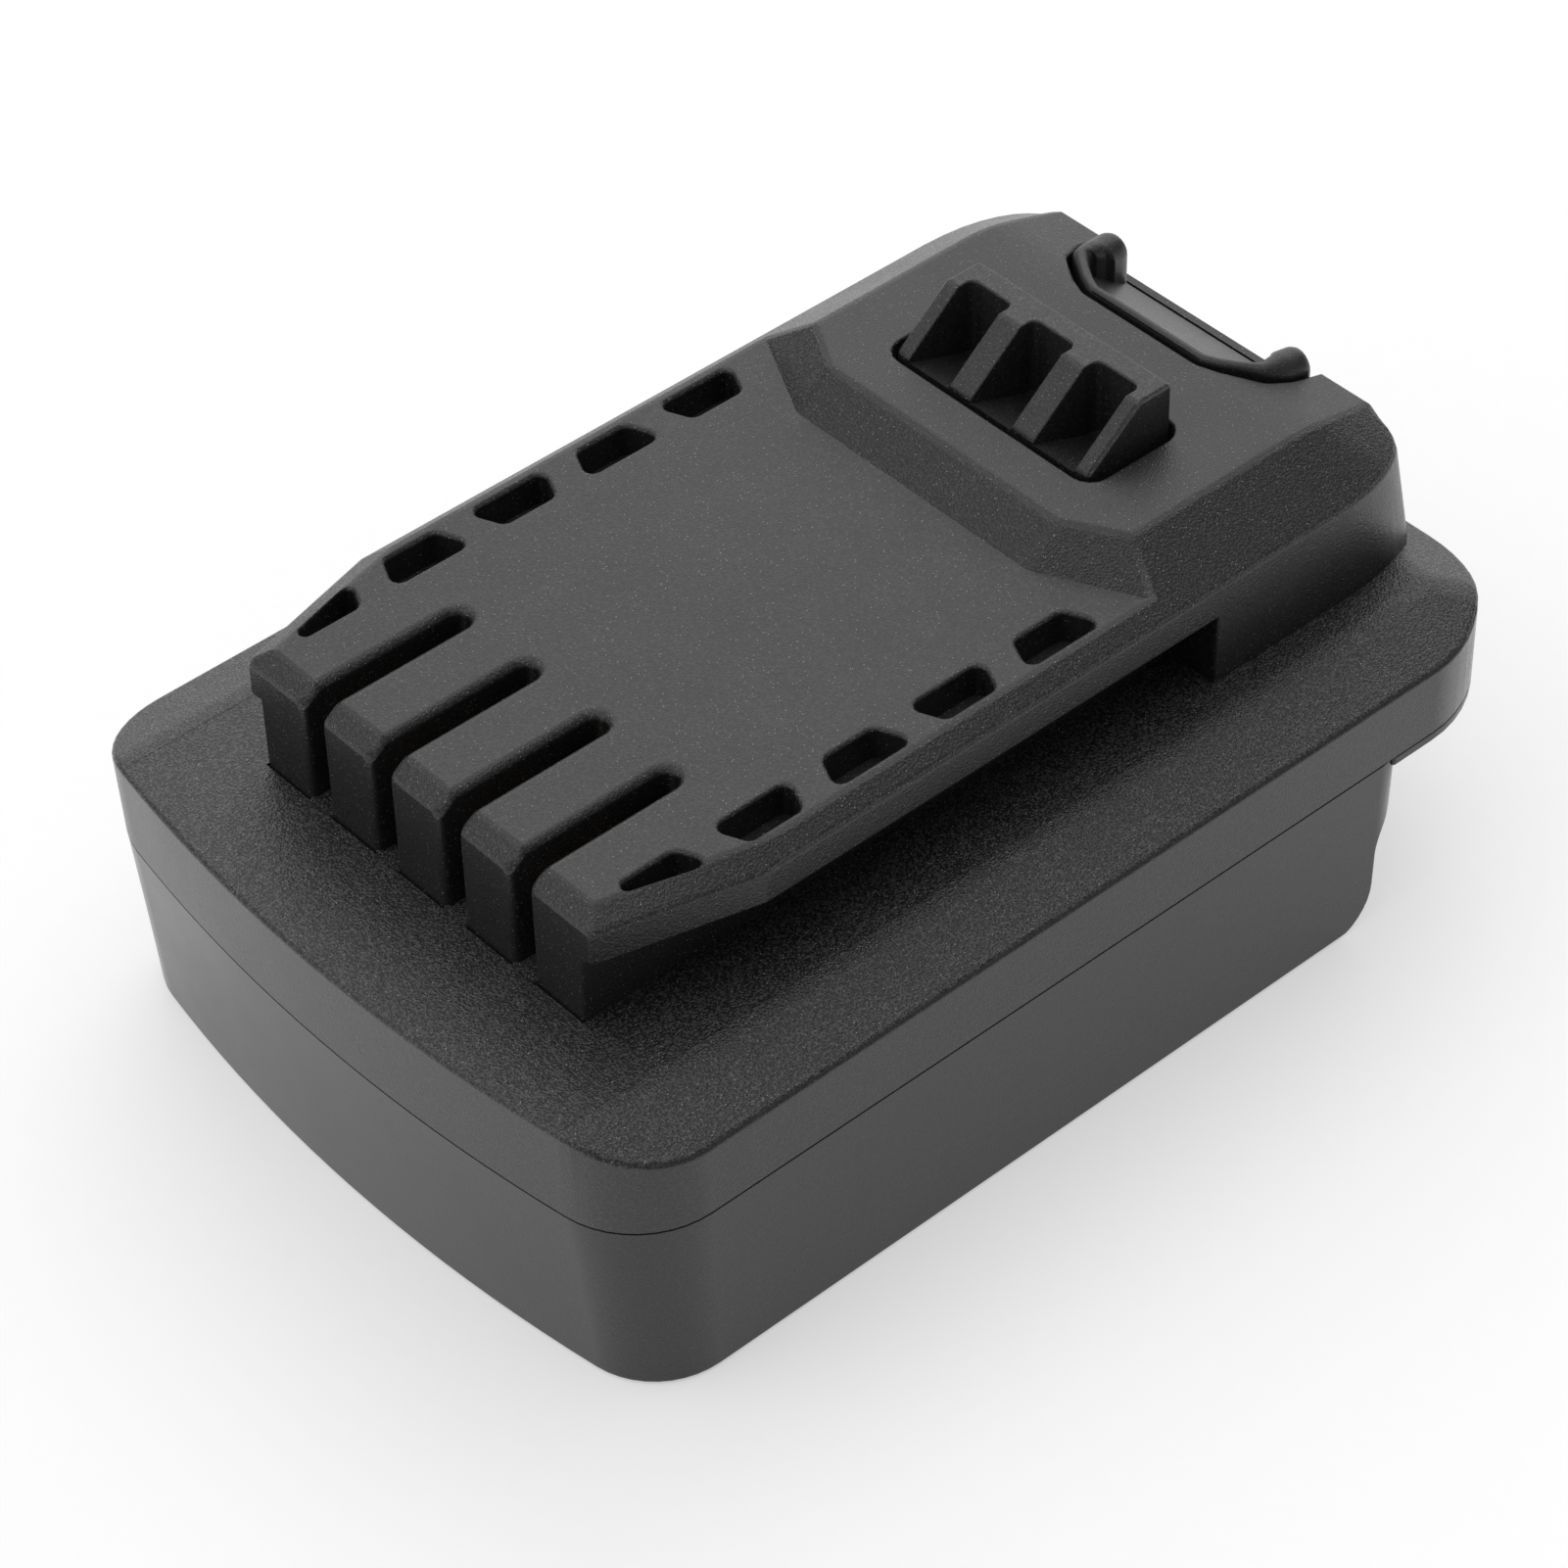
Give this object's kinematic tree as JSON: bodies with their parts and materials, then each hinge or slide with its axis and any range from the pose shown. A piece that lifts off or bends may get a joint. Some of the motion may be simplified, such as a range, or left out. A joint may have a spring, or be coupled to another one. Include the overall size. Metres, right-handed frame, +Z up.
{
  "type": "tool battery adapter",
  "caption": "Battery adapter for a cordless tool: a slide foot with contact slots and a sprung latch with its release button on top, a battery socket below.",
  "frame": {"origin": "under the middle of the housing, on the plane of the skirt's lower rim", "axes": "+X towards the latch end, where the battery pack goes in; +Z up, from the battery socket to the foot"},
  "size_m": [0.1127, 0.076, 0.0513],
  "materials": {
    "shell_plastic": "fine grain",
    "latch_plastic": "smooth matte",
    "spring_steel": "drawn wire",
    "carrier_plastic": "smooth matte",
    "brass": "satin",
    "board": "lacquered",
    "chip_plastic": "moulded",
    "capacitor_can": "sleeved can",
    "red_wire": "insulated",
    "black_wire": "insulated",
    "screw_steel": "zinc plated"
  },
  "bodies": {
    "housing": {"upper_shell": "shell_plastic", "lower_shell": "shell_plastic", "rear_lip_plate": "shell_plastic", "latch_spring_left": "spring_steel", "latch_spring_right": "spring_steel", "contact_carrier": "carrier_plastic", "battery_terminal_block": "carrier_plastic", "tool_contact_1": "brass", "tool_contact_2": "brass", "tool_contact_3": "brass", "tool_contact_4": "brass", "positive_blade": "brass", "negative_blade": "brass", "circuit_board": "board", "control_chip": "chip_plastic", "transistor_left": "chip_plastic", "transistor_right": "chip_plastic", "capacitor": "capacitor_can", "positive_wire": "red_wire", "negative_wire": "black_wire", "shell_screws": "screw_steel", "board_screws": "screw_steel", "terminal_block_screws": "screw_steel", "lip_plate_screws": "screw_steel"},
    "latch_unit": {"latch": "latch_plastic", "release_button": "latch_plastic"}
  },
  "joints": [
    {"name": "latch_slide", "type": "slide", "parent": "housing", "child": "latch_unit", "axis": [0, 0, -1], "range_m": [0, 0.005], "stiffness_N_per_m": 700, "springref_m": -0.004, "deforming": ["latch_spring_left", "latch_spring_right"]}
  ]
}
